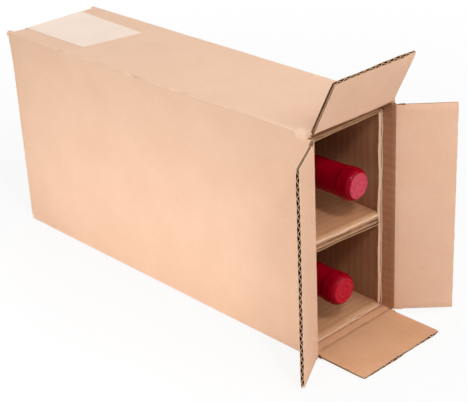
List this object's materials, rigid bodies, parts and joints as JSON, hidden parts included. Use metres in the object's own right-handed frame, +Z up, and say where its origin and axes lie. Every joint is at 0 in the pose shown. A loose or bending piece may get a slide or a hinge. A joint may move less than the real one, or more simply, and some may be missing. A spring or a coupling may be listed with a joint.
{
  "type": "bottle shipping box",
  "caption": "Corrugated shipping carton lying with its mouth open: hinged flaps, a folded insert with stacked cells, and capped bottles resting in them.",
  "frame": {"origin": "centre of the face that the carton rests on, midway along the closed carton's length and width", "axes": "+X out of the mouth, +Y to the far long side, +Z up from the face it rests on"},
  "size_m": [0.4585, 0.1859, 0.2548],
  "materials": {
    "carton_board": "matte",
    "flap_board": "matte",
    "insert_board": "matte",
    "tape": "satin",
    "bottle_glass": "gloss",
    "capsule_foil": "satin"
  },
  "bodies": {
    "carton": {"carton_body": "carton_board", "bottle_insert": "insert_board", "closing_tape": "tape", "bottle_upper": "bottle_glass", "capsule_upper": "capsule_foil", "bottle_lower": "bottle_glass", "capsule_lower": "capsule_foil"},
    "near_flap": {"near_flap": "flap_board"},
    "far_flap": {"far_flap": "flap_board"},
    "top_flap": {"top_flap": "flap_board"},
    "bottom_flap": {"bottom_flap": "flap_board"}
  },
  "joints": [
    {"name": "near_flap_hinge", "type": "hinge", "parent": "carton", "child": "near_flap", "pos_m": [0.2025, -0.0515, 0.103], "axis": [0, 0, -1], "range_deg": [-150, 60]},
    {"name": "far_flap_hinge", "type": "hinge", "parent": "carton", "child": "far_flap", "pos_m": [0.2025, 0.0515, 0.103], "axis": [0, 0, 1], "range_deg": [-135, 75]},
    {"name": "top_flap_hinge", "type": "hinge", "parent": "carton", "child": "top_flap", "pos_m": [0.1982, 0, 0.204], "axis": [0, -1, 0], "range_deg": [-154, 56]},
    {"name": "bottom_flap_hinge", "type": "hinge", "parent": "carton", "child": "bottom_flap", "pos_m": [0.1982, 0, 0.002], "axis": [0, 1, 0], "range_deg": [-90, 0]}
  ]
}
